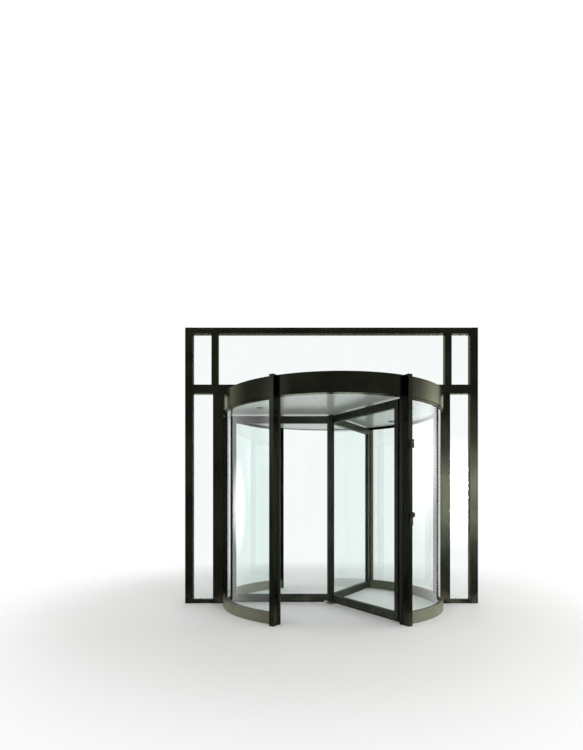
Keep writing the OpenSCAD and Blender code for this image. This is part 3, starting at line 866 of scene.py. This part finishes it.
plates, plate_gaskets = Shape(), Shape()
for side in (-1, 1):
    at = Matrix.Translation((0, side * PLATE_MIDDLE, roof_top))
    plate_gaskets.skin([rounded(PLATE_SIZE, -GASKET_SHOWS, z) for z in (0, GASKET_T)], turn=at)
    plates.skin([rounded(PLATE_SIZE, 0, GASKET_T), rounded(PLATE_SIZE, 0, GASKET_T + PLATE_T / 2),
                 rounded(PLATE_SIZE, PLATE_T / 2, GASKET_T + PLATE_T)], turn=at)
plate_gaskets.piece("roof_plate_gaskets", "surround", "strip_rubber", black_rubber)
plates.piece("roof_plates", "surround", "frame_metal", roof_powder)

# %% [markdown]
# ## Screws
# Wherever a fitter may have to come back, the sheet is held by screws that show: round the roof
# and its plates, in the case of the sensor and of the button, and in the floor plate. A pan head
# is a low dome with a socket sunk into it, and the socket is what the eye finds, so it is turned
# into the head.

# %% Roof screws
SCREW_STEPS = 24
SOCKET_SHARE, RIM_SHARE = 0.42, 0.3
ROOF_SCREWS = 24
ROOF_SCREW_R = 0.007
ROOF_SCREW_INSET = 0.022


def screws(name, slot, finish, radius, places):
    """Pan heads with a round socket, each lying on its face at one of the places."""
    heads = Shape()
    socket, rim = radius * SOCKET_SHARE, radius * RIM_SHARE
    section = [(0, rim * 0.5), (socket, rim * 0.5), (socket, rim * 1.3),
               (radius * 0.75, rim * 1.25), (radius, rim * 0.6), (radius, 0), (0, 0)]
    for place in places:
        heads.lathe(section, place, SCREW_STEPS)
    heads.piece(name, "surround", slot, finish)


ring_r = roof_r - ROOF_SCREW_INSET
ring = [2 * math.pi * (i + 0.5) / ROOF_SCREWS for i in range(ROOF_SCREWS)]
roof_places = [Matrix.Translation((ring_r * math.cos(a), ring_r * math.sin(a), roof_top))
               for a in ring]
for side in (-1, 1):
    for i, j in ((-1, -1), (0, -1), (1, -1), (-1, 1), (0, 1), (1, 1), (-1, 0), (1, 0)):
        roof_places.append(Matrix.Translation((
            i * (PLATE_SIZE[0] / 2 - ROOF_SCREW_INSET),
            side * PLATE_MIDDLE + j * (PLATE_SIZE[1] / 2 - ROOF_SCREW_INSET),
            roof_top + GASKET_T + PLATE_T)))
screws("roof_screws", "bearing_steel", turned_steel, ROOF_SCREW_R, roof_places)

# %% Floor and case screws
FLOOR_PLATE_TOP = 0.008
ANCHOR_R = 0.056
ANCHOR_SCREW_R = 0.0078
CASE_SCREW_R = 0.003
SENSOR_SCREW_DOWN = 0.028
BUTTON_SCREWS_UP = (0.014, 0.062)
BUTTON_BOX_DEPTH = 0.016
TO_FACE = Matrix.Rotation(math.radians(90), 4, "Y")

corners = [math.radians(45 + 90 * quarter) for quarter in range(4)]
anchor_places = [
    Matrix.Translation((ANCHOR_R * math.cos(a), ANCHOR_R * math.sin(a), FLOOR_PLATE_TOP))
    for a in corners]
screws("anchor_screws", "bearing_steel", turned_steel, ANCHOR_SCREW_R, anchor_places)

button_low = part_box("stop_button")[0].z
case_spots = [(SENSOR_DEPTH, sensor_z - SENSOR_SCREW_DOWN)]
case_spots += [(BUTTON_BOX_DEPTH, button_low + up) for up in BUTTON_SCREWS_UP]
case_places = [FRONT_POST @ Matrix.Translation((post_face_r + depth, 0, z)) @ TO_FACE
               for depth, z in case_spots]
screws("case_screws", "bearing_steel", turned_steel, CASE_SCREW_R, case_places)

# %% [markdown]
# ## Floor
# The door is shown in a plain studio. The floor is a wide pale disc that keeps the shadow near the
# door and turns into the white of the background further out. That goes by the distance from the
# door and not by the camera, so every view has the same floor. A small disc would show its edge.

# %% Floor
FLOOR_R = 40
FLOOR_STEPS = 128
FADE_FROM, FADE_TO = 2.3, 4.6
floor_shape = bpy.data.meshes.new("floor")
around = np.linspace(0, 2 * math.pi, FLOOR_STEPS, endpoint=False)
rim = [(FLOOR_R * math.cos(a), FLOOR_R * math.sin(a), 0) for a in around]
floor_shape.from_pydata(rim, [], [tuple(range(len(rim)))])
floor = bpy.data.objects.new("floor", floor_shape)
bpy.context.scene.collection.objects.link(floor)

floor_material = bpy.data.materials.new("floor")
recipe = Recipe(floor_material)
distance = recipe.add("VectorMath", {"operation": "LENGTH"}, {0: recipe.point()}, output=1)
fade = recipe.rise(distance, FADE_FROM, FADE_TO)
near = recipe.add("BsdfPrincipled", None, {"Base Color": tone(236, 236, 234), "Roughness": 0.6})
far = recipe.add("Emission", None, {"Color": WHITE, "Strength": 1.0})
surface = recipe.add("MixShader", None, {0: fade, 1: near, 2: far})
recipe.end("OutputMaterial", surface)
floor_shape.materials.append(floor_material)
print("floor turns white from", FADE_FROM, "to", FADE_TO, "m from the middle")

# %% [markdown]
# ## Background and lights
# The world is white to the camera, to mirrors and through glass, and softer as a light. Four large
# soft lights stand round the door. Dark bright metal shows its shape only by what it mirrors, so
# the lights are wide and fade at their rims, and a bar takes a soft gradient from them instead of a
# hard patch. The widest stands on the right, where the curved fascia turns towards it. The
# strongest stands in front on the right, where the posts of that side mirror it.

# %% World and lights
WORLD_LIGHT = 0.7
LIGHT_MIDDLE, LIGHT_RIM = (0.5, 0.5, 0), 0.5
BOUNCES = 24
world = bpy.data.worlds.new("studio")
bpy.context.scene.world = world
recipe = Recipe(world)
seen = recipe.add("LightPath", output=0)
mirrored = recipe.add("LightPath", output=3)
through = recipe.add("LightPath", output=6)
shown = recipe.add("Clamp", None, {"Value": seen + mirrored + through})
brightness = WORLD_LIGHT + shown * (1 - WORLD_LIGHT)
background = recipe.add("Background", None, {"Color": WHITE, "Strength": brightness})
recipe.end("OutputWorld", background)


def softbox(name, place, aim, size, strength):
    """An area light that fades towards its rim, as a lamp behind a diffuser does."""
    light = bpy.data.lights.new(name, "AREA")
    light.shape = "RECTANGLE"
    light.size, light.size_y = size
    light.energy = strength * math.pi * size[0] * size[1]
    recipe = Recipe(light)
    from_middle = recipe.add("VectorMath", {"operation": "DISTANCE"},
                             {0: recipe.add("NewGeometry", output=5), 1: LIGHT_MIDDLE}, output=1)
    soft = recipe.rise(from_middle, low=LIGHT_RIM, high=0.0)
    recipe.end("OutputLight", recipe.add("Emission", None, {"Strength": soft}))
    lamp = bpy.data.objects.new(name, light)
    lamp.location = place
    lamp.rotation_euler = (Vector(aim) - Vector(place)).to_track_quat("-Z", "Y").to_euler()
    lamp.visible_camera = False
    lamp.visible_transmission = False
    bpy.context.scene.collection.objects.link(lamp)
    print("light", name, "of", size, "m, strength", strength)


softbox("left_front", (-5.4, -3.4, 3.0), aim=(0, 0, 1.2), size=(4.5, 4.0), strength=3.0)
softbox("left_back", (-6.2, 2.0, 1.1), aim=(0, -0.6, 0.9), size=(3.8, 2.4), strength=8.0)
softbox("right_side", (6.6, 0.2, 2.3), aim=(0, -0.4, 1.8), size=(10.0, 4.4), strength=6.0)
softbox("right_front", (3.6, -6.6, 1.4), aim=(1.4, 0, 1.2), size=(2.8, 3.0), strength=30.0)

view = bpy.context.scene.view_settings
view.view_transform = "Standard"
cycles = bpy.context.scene.cycles
cycles.max_bounces = cycles.transmission_bounces = cycles.transparent_max_bounces = BOUNCES
